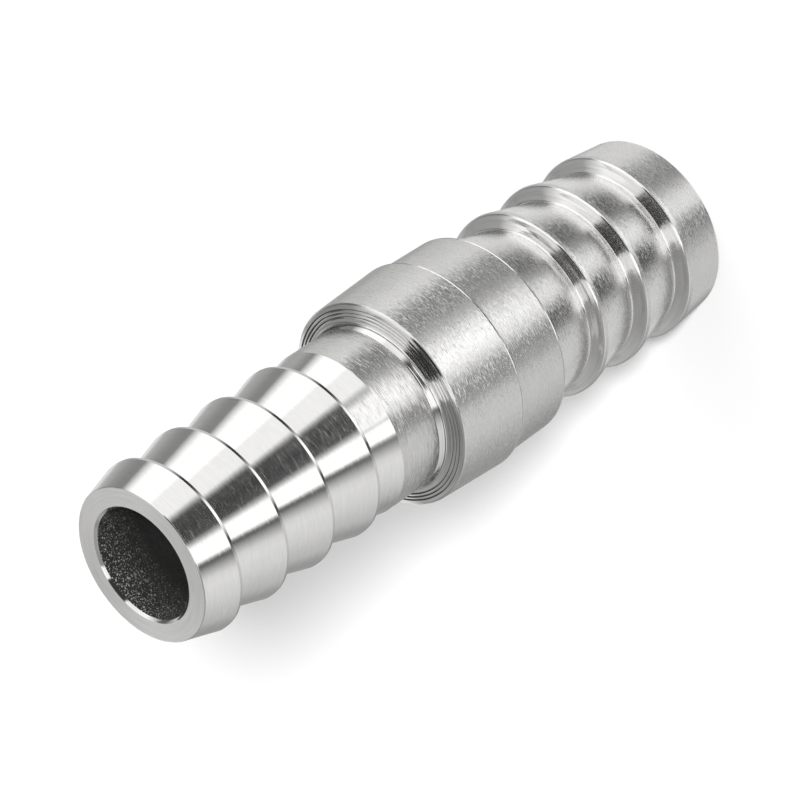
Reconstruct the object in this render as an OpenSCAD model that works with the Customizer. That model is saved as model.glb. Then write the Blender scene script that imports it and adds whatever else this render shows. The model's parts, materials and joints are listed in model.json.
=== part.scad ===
// Straight hose joiner that steps from one hose size to the next.
// It is turned from one bar: a large barbed tail, a stepped collar, a plain neck
// and a small barbed tail, with a bore from each end.
// It stands on the face of the large tail, with its axis along +Z. Sizes are millimetres.

/* [Large hose tail] */
// Diameter over the rims of the large barbs
large_rim_d = 15.4; // [14.8:0.1:16.2]
// Diameter of the end face, before its edge is rounded
large_tip_d = 14.6; // [13.8:0.1:15.2]
// Diameter at the foot of a large barb's step
large_foot_d = 13.22; // [12.8:0.02:13.6]
// Number of large barbs
large_barbs = 3; // [1:1:6]
// Distance from one large barb to the next
large_pitch = 5; // [3.5:0.1:7]
// Distance from the end face to the first step
large_lead = 4.15; // [3:0.05:6]
// Width of a rim, with its rounded edge
large_land = 0.45; // [0.35:0.05:0.9]
// Radius of a rim's edge at the step
large_edge_r = 0.2; // [0.05:0.05:0.25]
// Diameter where the last cone runs into the collar
large_collar_d = 15.2; // [14.4:0.1:16]

/* [Collar] */
// Distance from the last large step to the collar
collar_gap = 5.1; // [3:0.1:8]
// Length of the collar's lower band
lower_band_h = 5.1; // [3:0.1:8]
// Diameter of the lower band at its lower edge
lower_band_d1 = 16.45; // [16.25:0.05:16.9]
// Diameter of the lower band at the ridge
lower_band_d2 = 16.65; // [16.45:0.05:17]
// Length of the collar's upper band
upper_band_h = 6.45; // [3:0.05:9]
// Diameter of the upper band at the ridge
ridge_d = 17.25; // [17.1:0.05:18.5]
// Radius of the ridge's edge
ridge_edge_r = 0.22; // [0.06:0.02:0.24]
// Radius of the lower band's lower edge
lower_edge_r = 0.15; // [0.05:0.05:0.25]
// Diameter of the upper band at the shoulder
shoulder_d = 16.6; // [16.2:0.05:17.1]
// Radius of the shoulder's outer edge
shoulder_edge_r = 0.28; // [0.1:0.02:0.4]
// Angle at which the shoulder rises towards the neck
shoulder_rake = 8; // [4:1:10]
// Radius of the cove between the shoulder and the neck
shoulder_cove_r = 0.24; // [0.1:0.02:0.26]
// Gap beside each ring that the facing tool left between the cove and the edge
ring_gap = 0.12; // [0.1:0.02:0.3]

/* [Neck] */
// Diameter of the plain neck
neck_d = 13.4; // [12.8:0.05:13.6]
// Length of the neck from the shoulder to the first small cone
neck_h = 4.8; // [2:0.1:8]
// Height above the shoulder at which the neck starts to flare
flare_h = 0.92; // [0.7:0.02:1.2]
// Length of the flare
flare_run = 0.44; // [0.2:0.02:0.44]
// Radius that the neck gains in the flare
flare_w = 0.13; // [0.05:0.01:0.16]

/* [Small hose tail] */
// Diameter over the rims of the small barbs
small_rim_d = 14; // [13.6:0.1:14.6]
// Diameter of the end face, before its edge is rounded
small_tip_d = 12.46; // [11.8:0.02:13.2]
// Diameter at the foot of a small barb's step
small_foot_d = 11.68; // [11.3:0.02:12.4]
// Diameter at the foot of the cone next to the neck
run_in_foot_d = 12.2; // [11.5:0.02:12.4]
// Number of small barbs
small_barbs = 4; // [1:1:6]
// Distance from one small barb to the next
small_pitch = 4.83; // [3:0.01:5]
// Length of the cone between the neck and the first small barb
small_run_in = 2.9; // [1.5:0.1:4.5]
// Distance from the last small step to the end face
small_lead = 3.05; // [1.5:0.05:4.5]
// Width of a rim
small_land = 0.25; // [0.15:0.05:0.5]
// Radius of the end face's outer edge
small_tip_r = 0.1; // [0.05:0.05:0.3]

/* [Steps of the barbs] */
// Radius of the cove at the foot of a step
cove_r = 0.2; // [0.1:0.02:0.3]
// Radial distance from the foot to the crease between the step's two slopes
crease_w = 0.66; // [0.4:0.02:0.8]
// Height that the step gains from the rim to the crease
crease_rise = 0.12; // [0.06:0.01:0.2]
// Height that the step gains from the rim to the foot
foot_rise = 0.42; // [0.3:0.02:0.6]

/* [Bores] */
// Diameter of the bore from the small end
small_bore_d = 9; // [6:0.1:9.4]
// Diameter of the bore from the large end
large_bore_d = 11; // [9.5:0.1:11.4]
// Depth of the large bore
large_bore_h = 26; // [21:0.5:29]
// Point angle of the drill that left the large bore's bottom
drill_point = 118; // [90:1:140]
// Chamfer at each mouth
mouth_chamfer = 0.2; // [0.1:0.05:0.4]

/* [Edges] */
// Radius of the edges that are only deburred
deburr_r = 0.06; // [0.02:0.02:0.08]
// Depth of a fine turned ring
ring_depth = 0.05; // [0.02:0.01:0.08]
// Width of a fine turned ring
ring_w = 0.16; // [0.08:0.02:0.2]

/* [Hidden] */
$fn = 96;

steel = [0.79, 0.79, 0.78];
// Largest turn between two points of a rounded corner, in degrees
corner_step = 16;
// Share of a side that its rounded corners may take up
side_share = 0.98;

// Heights of the features above the large end face
large_last = large_lead + (large_barbs - 1) * large_pitch;
collar_z = large_last + collar_gap;
ridge_z = collar_z + lower_band_h;
shoulder_z = ridge_z + upper_band_h;
neck_z = shoulder_z + neck_h;
small_first = neck_z + small_run_in;
small_last = small_first + (small_barbs - 1) * small_pitch;
top_z = small_last + small_lead;

bore_cone_h = (large_bore_d - small_bore_d) / 2 / tan(drill_point / 2);

// The flare at the foot of the neck, and the outer edge of the cove round it
flare_r = neck_d / 2 + flare_w;
cove_outer_r = flare_r + shoulder_cove_r;

// The rings fill the face of the shoulder, from the cove outwards
ring_pitch = ring_gap + ring_w;
rings = floor((shoulder_d / 2 - shoulder_edge_r - cove_outer_r) / ring_pitch);

// Height of the shoulder's face at a radius
function shoulder_at(r) = shoulder_z + (shoulder_d / 2 - r) * tan(shoulder_rake);

// A row of an outline is [radius, height, corner radius]
function spot(row) = [row[0], row[1]];
function side(p, q) = norm(spot(q) - spot(p));
function toward(p, q) = (spot(q) - spot(p)) / side(p, q);
function room(p, q) = side_share * side(p, q) * p[2] / (p[2] + q[2]);

// The arc that replaces one corner, no longer than its two sides leave room for
function corner(before, row, after) =
    let (
        u = toward(row, before),
        v = toward(row, after),
        half = acos(u * v) / 2,
        setback = min(row[2] / tan(half), room(row, before), room(row, after)),
        sweep = 180 - 2 * half,
        centre = spot(row) + (u + v) / norm(u + v) * setback / cos(half),
        first = spot(row) + u * setback - centre,
        last = spot(row) + v * setback - centre,
        steps = ceil(sweep / corner_step)
    )
    [for (i = [0:steps])
        let (turn = sweep * i / steps)
        centre + (sin(sweep - turn) * first + sin(turn) * last) / sin(sweep)];

function outline(rows) =
    let (n = len(rows))
    [for (i = [0:n - 1])
        each rows[i][2] > 0
            ? corner(rows[(i + n - 1) % n], rows[i], rows[(i + 1) % n])
            : [spot(rows[i])]];

// The face behind a rim, from the rim's edge to the cove at its foot.
// up is 1 where the face looks up and -1 where it looks down.
function step_down(z, rim_d, foot_d, edge_r, up) = [
    [rim_d / 2, z, edge_r],
    [foot_d / 2 + crease_w, z + up * crease_rise, 0],
    [foot_d / 2, z + up * foot_rise, cove_r]
];

function reversed(rows) = [for (i = [len(rows) - 1:-1:0]) rows[i]];

// A fine ring cut into the shoulder, from the outside in
function shoulder_ring(inner_r) = [
    [inner_r + ring_w, shoulder_at(inner_r + ring_w), 0],
    [inner_r + ring_w / 2, shoulder_at(inner_r + ring_w / 2) - ring_depth, 0],
    [inner_r, shoulder_at(inner_r), 0]
];

// A large barb: the rim at the wide end of its cone, then the step, which looks up
function large_barb(z) = concat(
    [[large_rim_d / 2, z - large_land, deburr_r]],
    step_down(z, large_rim_d, large_foot_d, large_edge_r, 1)
);

// A small barb: the step, which looks down, then the rim at the wide end of the next cone
function small_barb(z, foot_d) = concat(
    reversed(step_down(z, small_rim_d, foot_d, deburr_r, -1)),
    [[small_rim_d / 2, z + small_land, 0]]
);

large_tail = concat(
    [[large_tip_d / 2, 0, large_edge_r]],
    [for (i = [0:large_barbs - 1]) each large_barb(large_lead + i * large_pitch)]
);

collar = concat(
    [
        [large_collar_d / 2, collar_z, large_edge_r],
        [lower_band_d1 / 2, collar_z, lower_edge_r],
        [lower_band_d2 / 2, ridge_z, deburr_r],
        [ridge_d / 2, ridge_z, ridge_edge_r],
        [shoulder_d / 2, shoulder_z, shoulder_edge_r]
    ],
    [for (i = [rings - 1:-1:0]) each shoulder_ring(cove_outer_r + ring_gap + i * ring_pitch)],
    [
        [flare_r, shoulder_at(flare_r), shoulder_cove_r],
        [flare_r, shoulder_z + flare_h - flare_run, 0],
        [neck_d / 2, shoulder_z + flare_h, 0]
    ]
);

small_tail = concat(
    [[neck_d / 2, neck_z, deburr_r]],
    small_barb(small_first, run_in_foot_d),
    [for (i = [1:1:small_barbs - 1]) each small_barb(small_first + i * small_pitch, small_foot_d)],
    [[small_tip_d / 2, top_z, small_tip_r]]
);

bores = [
    [small_bore_d / 2 + mouth_chamfer, top_z, 0],
    [small_bore_d / 2, top_z - mouth_chamfer, 0],
    [small_bore_d / 2, large_bore_h + bore_cone_h, 0],
    [large_bore_d / 2, large_bore_h, 0],
    [large_bore_d / 2, mouth_chamfer, 0],
    [large_bore_d / 2 + mouth_chamfer, 0, 0]
];

// The whole joiner, turned and bored from one bar
module reducer_body() {
    color(steel)
        rotate_extrude()
            polygon(outline(concat(large_tail, collar, small_tail, bores)));
}

reducer_body();
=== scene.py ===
"""Looks of a turned stainless steel hose joiner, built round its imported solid."""

import json
import math
from typing import NamedTuple

import bmesh
import bpy
from mathutils import Matrix, Vector


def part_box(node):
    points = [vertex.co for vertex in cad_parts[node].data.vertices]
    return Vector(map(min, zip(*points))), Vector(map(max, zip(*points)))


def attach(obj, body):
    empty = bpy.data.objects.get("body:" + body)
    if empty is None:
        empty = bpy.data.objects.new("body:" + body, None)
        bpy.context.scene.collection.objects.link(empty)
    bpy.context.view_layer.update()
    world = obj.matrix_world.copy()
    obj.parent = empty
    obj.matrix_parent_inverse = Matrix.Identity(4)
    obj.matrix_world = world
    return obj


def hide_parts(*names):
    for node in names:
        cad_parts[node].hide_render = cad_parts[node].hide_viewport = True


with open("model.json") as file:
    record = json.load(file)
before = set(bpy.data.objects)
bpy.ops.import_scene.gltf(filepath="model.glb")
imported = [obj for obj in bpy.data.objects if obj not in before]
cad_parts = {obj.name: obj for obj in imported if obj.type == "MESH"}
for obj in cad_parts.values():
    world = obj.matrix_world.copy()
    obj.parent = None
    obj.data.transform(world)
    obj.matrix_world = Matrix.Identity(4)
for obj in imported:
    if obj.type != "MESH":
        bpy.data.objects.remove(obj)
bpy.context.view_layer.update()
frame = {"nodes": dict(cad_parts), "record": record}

bl_info = {
    "name": "Turned hose joiner",
    "version": (1, 0, 0),
    "blender": (4, 5, 0),
    "location": "View3D > Sidebar > Joiner",
    "description": "Turns the joiner's body smooth, gives it its steel finishes and sets its stage",
    "category": "Object",
}

MM = 0.001
BODY_NODE = "reducer_body"
BODY_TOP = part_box(BODY_NODE)[1].z

# Heights on the body, in millimetres
COLLAR_FOOT = 19.25
RIDGE = 24.35
FLARE_TOP = 31.72
NECK_TOP = 35.6


def mount(name):
    """The record's mount of that name."""
    return next(m for m in frame["record"]["mounts"] if m["name"] == name)


SMALL_BORE_R = mount("small_bore")["dims"]["r_mm"] * MM


class JoinerBodySizes(bpy.types.PropertyGroup):
    """Sizes of the smooth turned body"""

    turn_steps: bpy.props.IntProperty(
        name="Turn steps", description="Faces round the axis", default=256, min=64, max=360,
    )
    merge_gap: bpy.props.FloatProperty(
        name="Merge gap", description="Vertices closer than this are one",
        default=0.002 * MM, unit="LENGTH", precision=6,
    )
    crisp_angle: bpy.props.FloatProperty(
        name="Crisp angle", description="Edges that turn more than this are crisp",
        default=math.radians(25), subtype="ANGLE",
    )
    smooth_angle: bpy.props.FloatProperty(
        name="Smooth angle", description="Edges that turn less than this are smooth",
        default=math.radians(2), subtype="ANGLE",
    )
    crisp_width: bpy.props.FloatProperty(
        name="Crisp width",
        description="An edge between the two angles is crisp where both its bands are wider than this",
        default=0.15 * MM, unit="LENGTH", precision=5,
    )
    satin_top: bpy.props.FloatProperty(
        name="Top of the neck", description="Height at which the brushed neck meets the polished cones",
        default=NECK_TOP * MM, unit="LENGTH", precision=5,
    )
    flare_top: bpy.props.FloatProperty(
        name="Top of the flare", description="Height at which the bright flare meets the brushed neck",
        default=FLARE_TOP * MM, unit="LENGTH", precision=5,
    )
    flare_height: bpy.props.FloatProperty(
        name="Height of the flare", description="From the shoulder's outer edge to the top of the flare",
        default=0.92 * MM, unit="LENGTH", precision=5,
    )
    shoulder_edge: bpy.props.FloatProperty(
        name="Shoulder edge", description="How far the shoulder's finish reaches down its rounded edge",
        default=0.3 * MM, unit="LENGTH", precision=5,
    )


class JoinerFinish(bpy.types.PropertyGroup):
    """Colours and roughness of the steel"""

    steel: bpy.props.FloatVectorProperty(
        name="Steel", description="Colour of the cut steel",
        size=3, subtype="COLOR", default=(0.805, 0.80, 0.79), min=0, max=1,
    )
    polished_roughness: bpy.props.FloatProperty(
        name="Polished roughness", description="Roughness of the small cones",
        default=0.07, min=0, max=1, subtype="FACTOR",
    )
    satin_roughness: bpy.props.FloatProperty(
        name="Satin roughness", description="Roughness of the neck, collar and large cones",
        default=0.21, min=0, max=1, subtype="FACTOR",
    )
    formed_roughness: bpy.props.FloatProperty(
        name="Formed roughness", description="Roughness of the steps, the shoulder and the coves",
        default=0.07, min=0, max=1, subtype="FACTOR",
    )
    # Painted shade: the steps, coves, flare and mouth chamfers get a slightly darker copy of the steel's
    # colour
    formed_painted_shade: bpy.props.FloatProperty(
        name="Formed shade", description="Share of the steel's colour that the steps keep",
        default=0.92, min=0, max=1, subtype="FACTOR",
    )
    # Painted shade: the ringed shoulder gets a darker copy of the steel's colour, standing in for the dark
    # reflections it shows
    shoulder_painted_shade: bpy.props.FloatProperty(
        name="Shoulder shade", description="Share of the steel's colour that the ringed shoulder keeps",
        default=0.72, min=0, max=1, subtype="FACTOR",
    )
    faced_roughness: bpy.props.FloatProperty(
        name="Faced roughness", description="Roughness of the two end faces",
        default=0.34, min=0, max=1, subtype="FACTOR",
    )
    # Painted shade: the bore's wall gets a near-black colour that stands in for the shade deep in the
    # recess, not a darker steel
    bore: bpy.props.FloatVectorProperty(
        name="Bore", description="Colour of the dark wall of the bore",
        size=3, subtype="COLOR", default=(0.04, 0.04, 0.039), min=0, max=1,
    )


class JoinerStage(bpy.types.PropertyGroup):
    """The camera and the light"""

    lens: bpy.props.FloatProperty(
        name="Lens", description="Focal length on a 36 mm sensor", default=229.54, unit="CAMERA",
    )
    distance: bpy.props.FloatProperty(
        name="Distance", description="From the aim to the camera", default=0.376835, unit="LENGTH",
    )
    elevation: bpy.props.FloatProperty(
        name="Elevation", description="Angle of the camera above the floor",
        default=math.radians(36.661), subtype="ANGLE",
    )
    roll: bpy.props.FloatProperty(
        name="Roll", description="Turn of the camera about its own view",
        default=math.radians(-123.947), subtype="ANGLE",
    )
    aim: bpy.props.FloatVectorProperty(
        name="Aim", description="Point that the camera looks at",
        size=3, subtype="XYZ", unit="LENGTH", default=(-0.524 * MM, 0.0, 28.97 * MM),
    )
    floor_size: bpy.props.FloatProperty(
        name="Floor size", description="Side of the floor", default=6.0, unit="LENGTH",
    )
    floor_grey: bpy.props.FloatProperty(
        name="Floor grey", description="Lightness of the floor", default=0.9, min=0, max=1, subtype="FACTOR",
    )
    sun_azimuth: bpy.props.FloatProperty(
        name="Sun azimuth", description="Angle of the sun from the camera's side",
        default=math.radians(5), subtype="ANGLE",
    )
    sun_elevation: bpy.props.FloatProperty(
        name="Sun elevation", description="Angle of the sun above the floor",
        default=math.radians(36), subtype="ANGLE",
    )
    sun_softness: bpy.props.FloatProperty(
        name="Sun softness", description="Angle that the sun covers",
        default=math.radians(7), subtype="ANGLE",
    )
    sun_strength: bpy.props.FloatProperty(
        name="Sun strength", description="Light of the sun, in watts per square metre", default=3.0,
    )


def deselect_all():
    """Leave nothing selected and no object in edit mode."""
    if bpy.context.object and bpy.context.object.mode != "OBJECT":
        bpy.ops.object.mode_set(mode="OBJECT")
    bpy.ops.object.select_all(action="DESELECT")


def make_active(piece):
    """Leave only this piece selected, and make it the active one."""
    deselect_all()
    piece.select_set(True)
    bpy.context.view_layer.objects.active = piece


class NodeSheet:
    """Adds nodes to a tree and joins them."""

    def __init__(self, tree):
        self.tree = tree
        tree.nodes.clear()

    def add(self, kind, inputs=None, **settings):
        """A new node, with sockets linked or values set on its inputs."""
        node = self.tree.nodes.new(kind)
        for key, value in settings.items():
            setattr(node, key, value)
        for key, value in (inputs or {}).items():
            if isinstance(value, bpy.types.NodeSocket):
                self.tree.links.new(value, node.inputs[key])
            else:
                node.inputs[key].default_value = value
        return node

    def math(self, operation, a, b=0.0, c=0.0):
        """The result of one sum."""
        return self.add("ShaderNodeMath", {0: a, 1: b, 2: c}, operation=operation).outputs[0]

    def vector(self, operation, inputs, output="Vector"):
        """The result of one sum on vectors."""
        return self.add("ShaderNodeVectorMath", inputs, operation=operation).outputs[output]

    def mix(self, share, first, second, **settings):
        """The first colour, mixed with that share of the second."""
        inputs = {0: share, 6: first, 7: second}
        return self.add("ShaderNodeMix", inputs, data_type="RGBA", **settings).outputs[2]

    def between(self, value, start, end, low=0.0, high=1.0, interpolation="LINEAR"):
        """Low up to the start, high from the end on, and a slope between them."""
        inputs = {0: value, "From Min": start, "From Max": end, "To Min": low, "To Max": high}
        return self.add("ShaderNodeMapRange", inputs, interpolation_type=interpolation).outputs[0]

    def place(self):
        """The point's X, Y and Z on the object."""
        point = self.add("ShaderNodeTexCoord").outputs["Object"]
        return self.add("ShaderNodeSeparateXYZ", {0: point}).outputs

    def ramp(self, factor, stops):
        """A colour ramp of greys. The stops are (position, level)."""
        node = self.add("ShaderNodeValToRGB", {0: factor})
        elements = node.color_ramp.elements
        while len(elements) > 1:
            elements.remove(elements[-1])
        for i, (position, level) in enumerate(stops):
            element = elements[0] if i == 0 else elements.new(position)
            element.position = position
            element.color = (level, level, level, 1)
        return node.outputs[0]


# Noise: its detail, how rough fine and broad noise are, and the shifts that keep the patterns apart
NOISE_DETAIL = 2.0
FINE_NOISE = 0.5
BROAD_NOISE = 0.6
OTHER_SHIFT = 57.3
BROAD_SHIFT = 31.7
BORE_SHIFT = 11.0
# Noise has this level at its middle
NOISE_MIDDLE = 0.5


def turned_noise(sheet, line_mm, streak_mm, shift, roughness):
    """Noise drawn out round the axis: lines line_mm wide and about streak_mm long."""
    x, y, z = sheet.place()
    flat = sheet.add("ShaderNodeCombineXYZ", {0: x, 1: y}).outputs[0]
    radius = sheet.vector("LENGTH", {0: flat}, "Value")
    across = 1 / (line_mm * MM)
    along = 1 / (streak_mm * MM)
    drawn = sheet.add("ShaderNodeCombineXYZ", {
        0: sheet.math("MULTIPLY", x, along),
        1: sheet.math("MULTIPLY", y, along),
        2: sheet.math("MULTIPLY_ADD", z, across, shift),
    }).outputs[0]
    noise = sheet.add("ShaderNodeTexNoise", {
        "Vector": drawn, "W": sheet.math("MULTIPLY", radius, across), "Scale": 1.0,
        "Detail": NOISE_DETAIL, "Roughness": roughness,
    }, noise_dimensions="4D")
    return noise.outputs["Fac"]


def tinted(sheet, color, shade):
    """A colour times a grey."""
    grey = sheet.add("ShaderNodeCombineColor", {0: shade, 1: shade, 2: shade}).outputs[0]
    return sheet.mix(1.0, (*color, 1), grey, blend_type="MULTIPLY")


def shaded(color, share):
    """That share of a colour."""
    return tuple(share * level for level in color)


def tilted_normal(sheet, around, along):
    """The surface normal, tilted round the axis and along it, and the direction round the axis."""
    normal = sheet.add("ShaderNodeNewGeometry").outputs["Normal"]
    tangent = sheet.add("ShaderNodeTangent", direction_type="RADIAL", axis="Z").outputs[0]
    across = sheet.vector("CROSS_PRODUCT", {0: normal, 1: tangent})
    for way, amount in ((tangent, around), (across, along)):
        part = sheet.vector("SCALE", {0: way, "Scale": amount})
        normal = sheet.vector("ADD", {0: normal, 1: part})
    return sheet.vector("NORMALIZE", {0: normal}), tangent


# Fine lines scored beside the collar's two edges: height and width in millimetres, and how far they lean
SCORED_LINES = ((RIDGE + 0.25, 0.10), (COLLAR_FOOT + 0.19, 0.10))
SCORED_LEAN = 0.8


def scored_tilt(sheet, lines):
    """How far the normal leans along the axis in the scored lines."""
    height = sheet.place()[2]
    total = 0.0
    for middle, width in lines:
        near = sheet.math("COMPARE", height, middle * MM, width / 2 * MM)
        total = sheet.math("MULTIPLY_ADD", near, SCORED_LEAN, total)
    return total


class Cut(NamedTuple):
    """What a tool left on the steel"""

    # Width and length of a hairline, in millimetres
    line: float
    streak: float
    # Levels of noise at which hairlines start to show, and show fully
    hair_from: float
    hair_to: float
    # How rough a hairline is, and how far it tilts round the axis
    hair_roughness: float
    hair_tilt: float
    # How far all the metal tilts round the axis and along it
    tilt_around: float
    tilt_along: float
    # Swing of the shade, and stretch of the highlight across the hairlines
    shade_swing: float
    stretch: float


POLISHED_CUT = Cut(
    line=0.06, streak=0.7, hair_from=0.40, hair_to=0.86, hair_roughness=0.17, hair_tilt=0.01,
    tilt_around=0.02, tilt_along=0.06, shade_swing=0.25, stretch=0.6,
)
NECK_CUT = Cut(
    line=0.055, streak=0.8, hair_from=0.48, hair_to=0.70, hair_roughness=0.40, hair_tilt=0.11,
    tilt_around=0.40, tilt_along=0.3, shade_swing=0.35, stretch=0.8,
)
COLLAR_CUT = Cut(
    line=0.045, streak=0.34, hair_from=0.48, hair_to=0.70, hair_roughness=0.40, hair_tilt=0.11,
    tilt_around=0.38, tilt_along=0.3, shade_swing=0.30, stretch=0.8,
)
FORMED_CUT = Cut(
    line=0.11, streak=3.0, hair_from=0.55, hair_to=0.90, hair_roughness=0.2, hair_tilt=0.0,
    tilt_around=0.05, tilt_along=0.28, shade_swing=0.7, stretch=0.3,
)
SHOULDER_CUT = Cut(
    line=0.07, streak=2.0, hair_from=0.50, hair_to=0.80, hair_roughness=0.3, hair_tilt=0.05,
    tilt_around=0.05, tilt_along=0.30, shade_swing=1.1, stretch=0.4,
)
FACED_CUT = Cut(
    line=0.14, streak=2.0, hair_from=0.45, hair_to=0.75, hair_roughness=0.5, hair_tilt=0.0,
    tilt_around=0.05, tilt_along=0.2, shade_swing=0.4, stretch=0.5,
)
# The second fine noise, which shades and tilts the metal, against the hairlines: how much wider and longer
OTHER_WIDER = 1.3
OTHER_LONGER = 1.2
# The broad clouds of shade, against the hairlines: how much wider and longer, and their share of the shade
BROAD_WIDER = 7
BROAD_LONGER = 6
BROAD_SHARE = 0.4
# Turns the highlight's stretch across the hairlines, as a share of a full turn
STRETCH_TURN = 0.25


def steel_material(name, color, roughness, cut, scored=()):
    """Cut steel with hairlines round the axis, which are rougher than the metal between them."""
    material = bpy.data.materials.new(name)
    material.use_nodes = True
    sheet = NodeSheet(material.node_tree)
    fine = turned_noise(sheet, cut.line, cut.streak, 0.0, FINE_NOISE)
    other = turned_noise(sheet, cut.line * OTHER_WIDER, cut.streak * OTHER_LONGER, OTHER_SHIFT, FINE_NOISE)
    broad = turned_noise(sheet, cut.line * BROAD_WIDER, cut.streak * BROAD_LONGER, BROAD_SHIFT, BROAD_NOISE)
    hair = sheet.between(fine, cut.hair_from, cut.hair_to, interpolation="SMOOTHSTEP")
    rough = sheet.math("MULTIPLY_ADD", hair, cut.hair_roughness - roughness, roughness)
    clouds = sheet.math("MULTIPLY", broad, BROAD_SHARE)
    swing = sheet.math("SUBTRACT", sheet.math("MULTIPLY_ADD", other, 1 - BROAD_SHARE, clouds), NOISE_MIDDLE)
    shade = sheet.math("MULTIPLY_ADD", swing, cut.shade_swing, 1.0)
    fine_swing = sheet.math("SUBTRACT", fine, NOISE_MIDDLE)
    other_swing = sheet.math("SUBTRACT", other, NOISE_MIDDLE)
    signed_hair = sheet.math("MULTIPLY", hair, sheet.math("SIGN", other_swing))
    hair_tilt = sheet.math("MULTIPLY", signed_hair, cut.hair_tilt)
    around = sheet.math("MULTIPLY_ADD", fine_swing, cut.tilt_around, hair_tilt)
    along = sheet.math("MULTIPLY_ADD", other_swing, cut.tilt_along, scored_tilt(sheet, scored))
    normal, tangent = tilted_normal(sheet, around, along)
    shader = sheet.add("ShaderNodeBsdfPrincipled", {
        "Base Color": tinted(sheet, color, shade), "Metallic": 1.0, "Roughness": rough,
        "Anisotropic": cut.stretch, "Anisotropic Rotation": STRETCH_TURN,
        "Normal": normal, "Tangent": tangent,
    })
    sheet.add("ShaderNodeOutputMaterial", {"Surface": shader.outputs[0]})
    return material


# Grains in the bore: width and length in millimetres, the levels of noise between which their painted glints
# fade in, and how far the grains stand up as a bump
GRAIN_WIDTH = 0.09
GRAIN_LENGTH = 0.13
GLINT_FROM = 0.54
GLINT_TO = 0.70
GRAIN_RISE = 0.12 * MM
# Painted light from the mouths: the grains' painted glints are brighter from this depth outwards, and
# brightest from the second one
GLINT_LIT_DEPTH = 4.5 * MM
GLINT_FULL_DEPTH = 0.8 * MM
# How bright the grains' painted glints are deep in the bore and at its mouth, against the wall's colour
GLINT_DEEP_LEVEL = 0.6
GLINT_MOUTH_LEVEL = 24.0
# Clouds on the bore's wall: width and length in millimetres, and the least and the swing of their shade
CLOUD_WIDTH = 1.2
CLOUD_LENGTH = 2.5
CLOUD_LEAST = 0.6
CLOUD_SWING = 0.8
BORE_METAL = 0.5
BORE_ROUGHNESS = 0.45


def bore_shade_and_glint_material(name, color):
    """The bore's wall, near black as painted shade, with fine grains that carry painted glints."""
    material = bpy.data.materials.new(name)
    material.use_nodes = True
    sheet = NodeSheet(material.node_tree)
    grain_and_glint = turned_noise(sheet, GRAIN_WIDTH, GRAIN_LENGTH, 0.0, FINE_NOISE)
    clouds = turned_noise(sheet, CLOUD_WIDTH, CLOUD_LENGTH, BORE_SHIFT, BROAD_NOISE)
    # Painted glints: where the noise is high, the grains' colour is lit up and stands in for highlights on
    # the drilled wall
    painted_glint = sheet.between(grain_and_glint, GLINT_FROM, GLINT_TO, interpolation="SMOOTHSTEP")
    # Painted light: the glints brighten towards both mouths of the bore, as if lit through the opening
    middle = BODY_TOP / 2
    from_middle = sheet.math("ABSOLUTE", sheet.math("SUBTRACT", sheet.place()[2], middle))
    painted_mouth_light = sheet.between(
        from_middle, middle - GLINT_LIT_DEPTH, middle - GLINT_FULL_DEPTH,
        low=GLINT_DEEP_LEVEL, high=GLINT_MOUTH_LEVEL,
    )
    wall = sheet.math("MULTIPLY_ADD", clouds, CLOUD_SWING, CLOUD_LEAST)
    shade = sheet.math("MULTIPLY_ADD", painted_glint, painted_mouth_light, wall)
    rise = sheet.math("MULTIPLY", grain_and_glint, GRAIN_RISE)
    bump = sheet.add("ShaderNodeBump", {"Height": rise, "Strength": 1.0, "Distance": 1.0})
    shader = sheet.add("ShaderNodeBsdfPrincipled", {
        "Base Color": tinted(sheet, color, shade), "Metallic": BORE_METAL, "Roughness": BORE_ROUGHNESS,
        "Normal": bump.outputs[0],
    })
    sheet.add("ShaderNodeOutputMaterial", {"Surface": shader.outputs[0]})
    return material


# The finishes, in the order of the body's material slots
POLISHED, NECK, COLLAR, FORMED, FACED, BORE, SHOULDER = range(7)
# How much of a face's normal points away from the axis: a bore's wall has less than the first, a cone or a
# band has more than the second, and a step or the shoulder lies between them
BORE_OUTWARD = -0.2
BAND_OUTWARD = 0.93
# How much of a face's normal points along the axis: a mouth's chamfer has more than the first, an end face
# more than the second
CHAMFER_UPRIGHT = 0.3
END_UPRIGHT = 0.99
# How near an end the middle of such a face lies
MOUTH_DEPTH = 0.5 * MM
END_DEPTH = 0.1 * MM
# Two vertices that differ less in height are on the same level
LEVEL_GAP = 1e-7
# The largest weight, at which a vertex's normal follows the widest face beside it alone
WIDE_FACE_WEIGHT = 100


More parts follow.
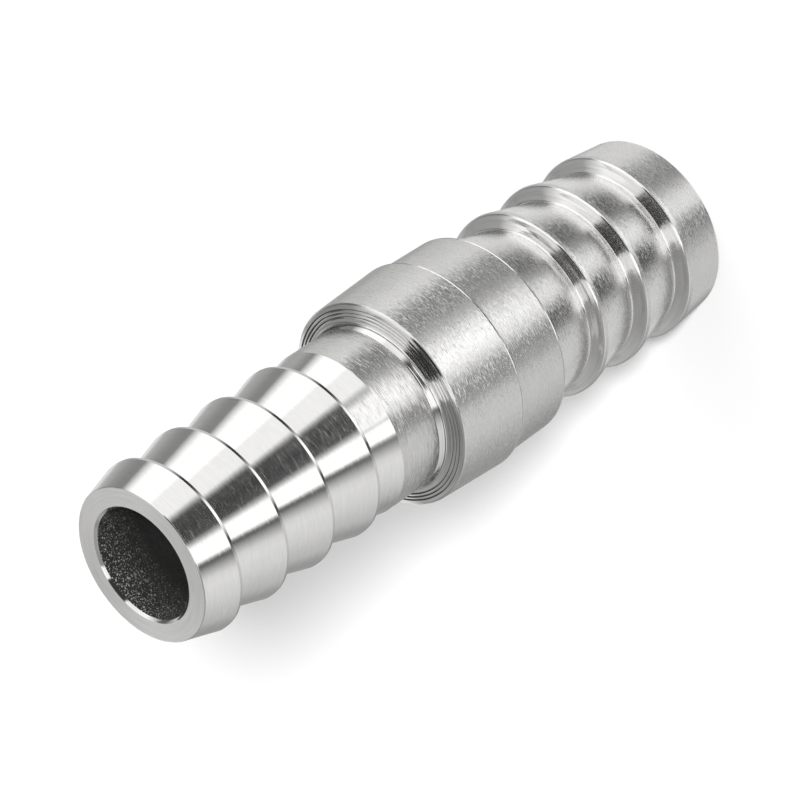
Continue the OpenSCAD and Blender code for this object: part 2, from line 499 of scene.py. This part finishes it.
class JOINER_OT_turned_body(bpy.types.Operator):
    """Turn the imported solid's own section into a smooth body and give each zone its finish"""

    bl_idname = "joiner.turned_body"
    bl_label = "Turned body"

    def execute(self, context):
        sizes = context.scene.joiner_body
        mesh = frame["nodes"][BODY_NODE].data.copy()
        mesh.name = "turned_body"
        body = bpy.data.objects.new("turned_body", mesh)
        context.scene.collection.objects.link(body)
        make_active(body)
        self.cut_section(sizes)
        self.turn_section(sizes)
        self.assign_finishes(body, context.scene.joiner_finish, sizes)
        make_active(body)
        bpy.ops.object.shade_smooth()
        self.mark_crisp_edges(sizes)
        self.weight_normals(body)
        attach(body, "root")
        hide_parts(BODY_NODE)
        return {"FINISHED"}

    def cut_section(self, sizes):
        """Leave the half section on the +X side, as a closed line in the XZ plane."""
        bpy.ops.object.mode_set(mode="EDIT")
        bpy.ops.mesh.select_mode(type="VERT")
        bpy.ops.mesh.select_all(action="SELECT")
        bpy.ops.mesh.remove_doubles(threshold=sizes.merge_gap)
        bpy.ops.mesh.select_all(action="SELECT")
        bpy.ops.mesh.bisect(
            plane_co=(0, 0, 0), plane_no=(0, 1, 0), threshold=sizes.merge_gap,
            use_fill=False, clear_inner=True,
        )
        mesh = bmesh.from_edit_mesh(bpy.context.object.data)
        for vertex in mesh.verts:
            vertex.select_set(abs(vertex.co.y) > sizes.merge_gap or vertex.co.x < 0)
        mesh.select_flush_mode()
        if all(vertex.select for vertex in mesh.verts):
            raise RuntimeError("The solid has no half section on the +X side")
        bmesh.update_edit_mesh(bpy.context.object.data)
        bpy.ops.mesh.delete(type="VERT")
        bpy.ops.mesh.select_all(action="SELECT")
        bpy.ops.mesh.delete(type="ONLY_FACE")

    def turn_section(self, sizes):
        """Turn the section once round the axis and close the seam."""
        bpy.ops.mesh.select_all(action="SELECT")
        bpy.ops.mesh.spin(
            steps=sizes.turn_steps, angle=2 * math.pi, center=(0, 0, 0), axis=(0, 0, 1), use_auto_merge=True
        )
        bpy.ops.mesh.select_all(action="SELECT")
        bpy.ops.mesh.remove_doubles(threshold=sizes.merge_gap)
        bpy.ops.mesh.normals_make_consistent(inside=False)
        if any(len(edge.link_faces) != 2 for edge in bmesh.from_edit_mesh(bpy.context.object.data).edges):
            raise RuntimeError("The turned body isn't closed")
        bpy.ops.object.mode_set(mode="OBJECT")

    def mark_crisp_edges(self, sizes):
        """Keep the edges between the bands crisp, and the rounded corners smooth."""
        bpy.ops.object.mode_set(mode="EDIT")
        bpy.ops.mesh.select_mode(type="EDGE")
        bpy.ops.mesh.select_all(action="DESELECT")
        mesh = bmesh.from_edit_mesh(bpy.context.object.data)
        for edge in mesh.edges:
            if abs(edge.verts[0].co.z - edge.verts[1].co.z) < LEVEL_GAP:
                edge.select_set(self.crisp(edge, sizes))
        bmesh.update_edit_mesh(bpy.context.object.data)
        bpy.ops.mesh.mark_sharp()
        bpy.ops.object.mode_set(mode="OBJECT")

    def crisp(self, edge, sizes):
        """Whether an edge that runs round the body turns sharply, or parts two wide bands."""
        turn = edge.calc_face_angle()
        width = min(face.calc_area() for face in edge.link_faces) / edge.calc_length()
        return turn > sizes.crisp_angle or (turn > sizes.smooth_angle and width > sizes.crisp_width)

    def weight_normals(self, body):
        """Let the wide bands keep their own normals. The modifier needs faces larger than a few microns."""
        self.resize(body, 1 / MM)
        weight = body.modifiers.new("even_normals", "WEIGHTED_NORMAL")
        weight.mode = "FACE_AREA"
        weight.weight = WIDE_FACE_WEIGHT
        weight.keep_sharp = True
        bpy.ops.object.modifier_apply(modifier=weight.name)
        self.resize(body, MM)

    def resize(self, body, factor):
        """Make the mesh that many times as large."""
        body.scale = (factor, factor, factor)
        bpy.ops.object.transform_apply(location=False, rotation=False, scale=True)

    def assign_finishes(self, body, finish, sizes):
        """Each zone of the turned surface gets its own finish. The steps and the shoulder get darker copies
        of the steel's colour, as painted shade.
        """
        steel = tuple(finish.steel)
        # Darker copies of the steel's colour: painted shade on the formed zones and the ringed shoulder
        steps = shaded(steel, finish.formed_painted_shade)
        shoulder = shaded(steel, finish.shoulder_painted_shade)
        satin = finish.satin_roughness
        formed = finish.formed_roughness
        materials = {
            POLISHED: steel_material("polished_steel", steel, finish.polished_roughness, POLISHED_CUT),
            NECK: steel_material("satin_neck_steel", steel, satin, NECK_CUT),
            COLLAR: steel_material("satin_collar_steel", steel, satin, COLLAR_CUT, SCORED_LINES),
            FORMED: steel_material("formed_steel_painted_shade", steps, formed, FORMED_CUT),
            FACED: steel_material("faced_steel", steel, finish.faced_roughness, FACED_CUT),
            BORE: bore_shade_and_glint_material("bore_wall_painted_shade_and_glints", tuple(finish.bore)),
            SHOULDER: steel_material("shoulder_steel_painted_shade", shoulder, formed, SHOULDER_CUT),
        }
        body.data.materials.clear()
        for slot in sorted(materials):
            body.data.materials.append(materials[slot])
        for face in body.data.polygons:
            face.material_index = self.zone(face, sizes)

    def zone(self, face, sizes):
        """The finish of a face, from its place and its normal."""
        radius = math.hypot(face.center.x, face.center.y)
        outward = face.normal.xy.dot(face.center.xy) / radius
        upright = abs(face.normal.z)
        height = face.center.z
        depth = min(height, BODY_TOP - height)
        if outward < BORE_OUTWARD:
            chamfer = upright > CHAMFER_UPRIGHT and radius > SMALL_BORE_R and depth < MOUTH_DEPTH
            return FORMED if chamfer else BORE
        if upright > END_UPRIGHT and depth < END_DEPTH:
            return FACED
        below_neck = height < sizes.flare_top
        shoulder = sizes.flare_top - sizes.flare_height
        if outward < BAND_OUTWARD:
            return SHOULDER if below_neck and height > shoulder - sizes.shoulder_edge else FORMED
        if below_neck:
            return FORMED if height > shoulder else COLLAR
        return POLISHED if height > sizes.satin_top else NECK


# Levels of the studio light round the part. Each belt is a row of (side in degrees, level): the side of
# the part that shows that light to the camera, where 0 faces the camera and 90 is +X.
LARGE_CONES_BELT = (
    (-90, 0.25), (-70, 0.35), (-60, 0.5), (-45, 0.8), (-30, 0.75), (-24, 0.45), (-20, 0.1),
    (-16, 0.05), (-11, 0.05), (-4, 0.95), (1, 1.05), (6, 0.9), (12, 0.4), (18, 0.11), (28, 0.11),
    (35, 0.45), (42, 0.75), (50, 1.0), (60, 1.2), (70, 1.7), (82, 1.7), (90, 0.9),
)
LAST_CONE_BELT = (
    (-95, 0.7), (-80, 0.9), (-60, 0.8), (-45, 0.6), (-29, 0.45), (-20, 1.0), (-8, 0.6),
    (0, 0.22), (10, 0.2), (18, 0.6), (24, 1.0), (45, 0.75), (60, 0.85), (75, 1.5), (90, 1.5),
)
NECK_BELT = (
    (-90, 0.35), (-72, 0.32), (-60, 0.4), (-42, 0.65), (-29, 0.7), (-24, 0.33), (-19, 0.08),
    (-15, 0.08), (-8, 1.0), (0, 1.55), (10, 1.05), (14, 0.55), (19, 0.14), (23, 0.05), (31, 0.05),
    (35, 0.3), (41, 0.7), (66, 0.62), (76, 0.42), (84, 0.45), (92, 0.8),
)
# The polished cones show the same light on their two sides
SMALL_LEFT = (
    (-98, 0.42), (-90, 0.38), (-80, 0.46), (-70, 0.56), (-60, 0.65), (-50, 0.77), (-38, 0.86),
    (-33, 0.8),
)
SMALL_RIGHT = (
    (17, 1.08), (31, 1.08), (33.5, 1.35), (49.5, 1.35), (54, 0.9), (59, 0.28), (64, 0.28), (73, 0.35),
    (80, 0.45), (88, 0.65), (95, 0.85),
)
RUN_IN_BELT = (
    *SMALL_LEFT, (-28, 0.5), (-23.5, 0.22), (-21.5, 0.35), (-20, 1.3), (-11.5, 1.3), (-9.5, 0.7),
    (-8, 1.3), (7, 1.3), (12, 0.6), (14, 0.7), *SMALL_RIGHT,
)
SMALL_CONES_BELT = (
    *SMALL_LEFT, (-28, 0.45), (-23.5, 0.12), (-21.7, 0.2), (-20, 1.3), (-9.5, 1.3), (-7.5, 0.6),
    (-4.5, 0.09), (3, 0.055), (12, 0.085), (14, 0.4), *SMALL_RIGHT,
)
FRONT_BELT = (
    (-98, 0.5), (-60, 0.3), (-28, 0.35), (-21, 1.7), (50, 1.7), (56, 0.15), (80, 0.15), (90, 0.4),
)
EDGES_BELT = (
    (-98, 0.6), (-60, 0.42), (-26, 0.42), (-21, 1.3), (-9, 1.3), (-6.5, 0.06), (17.5, 0.06),
    (20, 1.3), (46, 1.3), (62, 0.42), (90, 0.38), (102, 0.6),
)
STEPS_BELT = (
    (-98, 0.4), (-60, 0.38), (-30, 0.38), (-20, 0.34), (-18, 1.3), (-7, 1.3), (-5.5, 0.05),
    (19, 0.05), (20.5, 1.2), (46, 1.2), (62, 0.42), (90, 0.42),
)
# The belt at the lowest elevation, and then each higher one: the belt below it holds alone up to the first
# elevation in degrees, and it holds alone from the second
LOWEST_BELT = LARGE_CONES_BELT
HIGHER_BELTS = (
    (-53, -48, LAST_CONE_BELT),
    (-45, -42, NECK_BELT),
    (-27, -20, RUN_IN_BELT),
    (-8.0, -7.2, SMALL_CONES_BELT),
    (12, 14, FRONT_BELT),
    (22, 25, EDGES_BELT),
    (44, 48, STEPS_BELT),
)
# The light behind the part, and the sides at which it starts to show, and shows alone
BACK_BELT = (
    (-180, 0.2), (-150, 0.2), (-138, 1.2), (-118, 1.2), (-106, 0.5), (106, 0.5), (118, 1.2),
    (138, 1.2), (150, 0.2), (180, 0.2),
)
BACK_FROM = 98
BACK_ALONE = 106
# A ramp holds no more than 1, so it holds each level divided by this, and the light is this strong
LIGHT_STRENGTH = 2.0
# The floor's faces each way, and the camera's sensor in millimetres and its reach in metres
FLOOR_CUTS = 8
SENSOR_WIDTH = 36.0
NEAREST_SEEN = 0.01
FARTHEST_SEEN = 20.0


class JOINER_OT_stage(bpy.types.Operator):
    """Set the pale floor, the studio light and the camera"""

    bl_idname = "joiner.stage"
    bl_label = "Stage"

    def execute(self, context):
        stage = context.scene.joiner_stage
        self.add_floor(stage)
        self.add_world(context.scene, stage)
        self.add_sun(context.scene, stage)
        self.add_camera(context.scene, stage)
        context.scene.view_settings.view_transform = "Standard"
        return {"FINISHED"}

    def add_floor(self, stage):
        """A plain pale floor that keeps the part's shadow. The steel sees the world through it."""
        deselect_all()
        bpy.ops.mesh.primitive_grid_add(
            x_subdivisions=FLOOR_CUTS, y_subdivisions=FLOOR_CUTS, size=stage.floor_size
        )
        floor = bpy.context.object
        floor.name = "stage_floor"
        material = bpy.data.materials.new("stage_white")
        material.use_nodes = True
        sheet = NodeSheet(material.node_tree)
        path = sheet.add("ShaderNodeLightPath")
        grey = stage.floor_grey
        matt = sheet.add("ShaderNodeBsdfDiffuse", {"Color": (grey, grey, grey, 1)})
        clear = sheet.add("ShaderNodeBsdfTransparent")
        both = sheet.add("ShaderNodeMixShader", {
            0: path.outputs["Is Glossy Ray"], 1: matt.outputs[0], 2: clear.outputs[0],
        })
        sheet.add("ShaderNodeOutputMaterial", {"Surface": both.outputs[0]})
        floor.data.materials.append(material)

    def add_world(self, scene, stage):
        """White where the camera sees it, and belts of soft light and shade for the steel."""
        world = bpy.data.worlds.new("studio")
        scene.world = world
        world.use_nodes = True
        sheet = NodeSheet(world.node_tree)
        way = sheet.add("ShaderNodeTexCoord").outputs["Generated"]
        x, y, rise = sheet.add("ShaderNodeSeparateXYZ", {0: way}).outputs
        # A level surface mirrors the camera to this horizontal distance from the middle of the sky
        mirrored_camera = math.cos(stage.elevation)
        side = sheet.math("ARCTAN2", x, sheet.math("SUBTRACT", mirrored_camera, y))
        around = sheet.math("MULTIPLY_ADD", side, 0.5 / math.pi, 0.5)
        level = self.belt_ramp(sheet, around, LOWEST_BELT)
        for last, first, belt in HIGHER_BELTS:
            change = sheet.between(rise, math.sin(math.radians(last)), math.sin(math.radians(first)))
            level = sheet.mix(change, level, self.belt_ramp(sheet, around, belt))
        turned_away = sheet.math("ABSOLUTE", side)
        behind = sheet.between(turned_away, math.radians(BACK_FROM), math.radians(BACK_ALONE))
        level = sheet.mix(behind, level, self.belt_ramp(sheet, around, BACK_BELT))
        path = sheet.add("ShaderNodeLightPath")
        light = sheet.add("ShaderNodeBackground", {"Color": level, "Strength": LIGHT_STRENGTH})
        white = sheet.add("ShaderNodeBackground", {"Color": (1, 1, 1, 1), "Strength": 1.0})
        both = sheet.add("ShaderNodeMixShader", {
            0: path.outputs["Is Camera Ray"], 1: light.outputs[0], 2: white.outputs[0],
        })
        sheet.add("ShaderNodeOutputWorld", {"Surface": both.outputs[0]})

    def belt_ramp(self, sheet, around, belt):
        """A belt's levels as a ramp, from -180 degrees at its start to 180 at its end."""
        return sheet.ramp(around, [(0.5 + side / 360, level / LIGHT_STRENGTH) for side, level in belt])

    def add_sun(self, scene, stage):
        """A soft sun that throws the part's shadow away from the camera. The steel doesn't show it."""
        lamp = bpy.data.lights.new("sun", "SUN")
        lamp.angle = stage.sun_softness
        lamp.energy = stage.sun_strength
        piece = bpy.data.objects.new("sun", lamp)
        height = stage.sun_elevation
        way = Vector((
            math.cos(height) * math.sin(stage.sun_azimuth),
            -math.cos(height) * math.cos(stage.sun_azimuth),
            math.sin(height),
        ))
        piece.matrix_world = Matrix.Translation(way) @ way.to_track_quat("Z", "Y").to_matrix().to_4x4()
        piece.visible_glossy = False
        scene.collection.objects.link(piece)

    def add_camera(self, scene, stage):
        """A camera at the photograph's viewing angle, rolled as the photograph is."""
        camera = bpy.data.cameras.new("camera")
        camera.lens = stage.lens
        camera.sensor_width = SENSOR_WIDTH
        camera.clip_start = NEAREST_SEEN
        camera.clip_end = FARTHEST_SEEN
        piece = bpy.data.objects.new("camera", camera)
        back = Vector((0, -math.cos(stage.elevation), math.sin(stage.elevation)))
        place = Vector(stage.aim) + back * stage.distance
        look = (-back).to_track_quat("-Z", "Y").to_matrix().to_4x4()
        piece.matrix_world = Matrix.Translation(place) @ look @ Matrix.Rotation(stage.roll, 4, "Z")
        scene.collection.objects.link(piece)
        scene.camera = piece


PIECES = (JOINER_OT_turned_body, JOINER_OT_stage)
GROUPS = (JoinerBodySizes, JoinerFinish, JoinerStage)


class JOINER_PT_sidebar(bpy.types.Panel):
    """Lists the joiner's operators and settings"""

    bl_idname = "JOINER_PT_sidebar"
    bl_label = "Turned joiner"
    bl_space_type = "VIEW_3D"
    bl_region_type = "UI"
    bl_category = "Joiner"

    def draw(self, context):
        scene = context.scene
        for group in (scene.joiner_body, scene.joiner_finish, scene.joiner_stage):
            for key in group.__annotations__:
                self.layout.prop(group, key)
        for operator in PIECES:
            self.layout.operator(operator.bl_idname)


def register():
    for item in (*GROUPS, *PIECES, JOINER_PT_sidebar):
        bpy.utils.register_class(item)
    bpy.types.Scene.joiner_body = bpy.props.PointerProperty(type=JoinerBodySizes)
    bpy.types.Scene.joiner_finish = bpy.props.PointerProperty(type=JoinerFinish)
    bpy.types.Scene.joiner_stage = bpy.props.PointerProperty(type=JoinerStage)


def unregister():
    del bpy.types.Scene.joiner_stage
    del bpy.types.Scene.joiner_finish
    del bpy.types.Scene.joiner_body
    for item in reversed((*GROUPS, *PIECES, JOINER_PT_sidebar)):
        bpy.utils.unregister_class(item)


def main():
    register()
    bpy.ops.joiner.turned_body()
    bpy.ops.joiner.stage()


if __name__ == "__main__":
    main()
